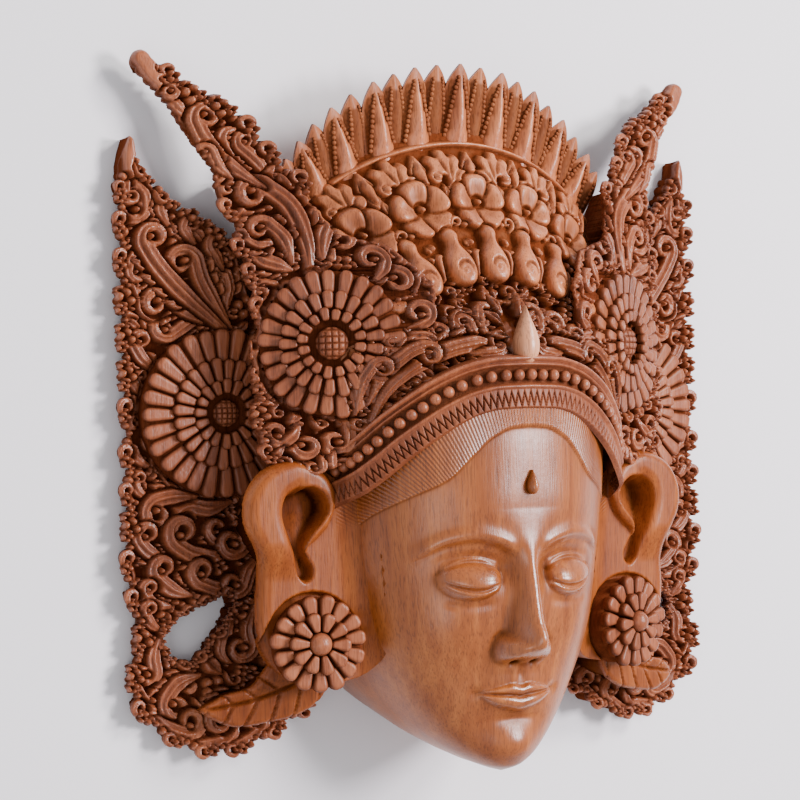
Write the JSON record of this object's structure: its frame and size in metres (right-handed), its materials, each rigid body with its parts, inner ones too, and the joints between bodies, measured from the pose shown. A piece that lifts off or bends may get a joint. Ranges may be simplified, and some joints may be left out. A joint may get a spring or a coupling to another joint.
{
  "type": "carved wooden wall mask",
  "caption": "Carved wooden wall mask of a calm crowned head with horned wings, daisies, beaded diadem and pierced lower lobes; hollow back, hangs or lies flat.",
  "frame": {"origin": "centre of the bounding box's bottom face, on the plane of the flat back rim", "axes": "+Z out of the face away from the back, +Y towards the top of the crown, +X to the viewer's right when facing the mask"},
  "size_m": [0.444, 0.4498, 0.1497],
  "materials": {
    "carved_wood": "satin"
  },
  "bodies": {
    "root": {"mask": "carved_wood"}
  },
  "joints": []
}
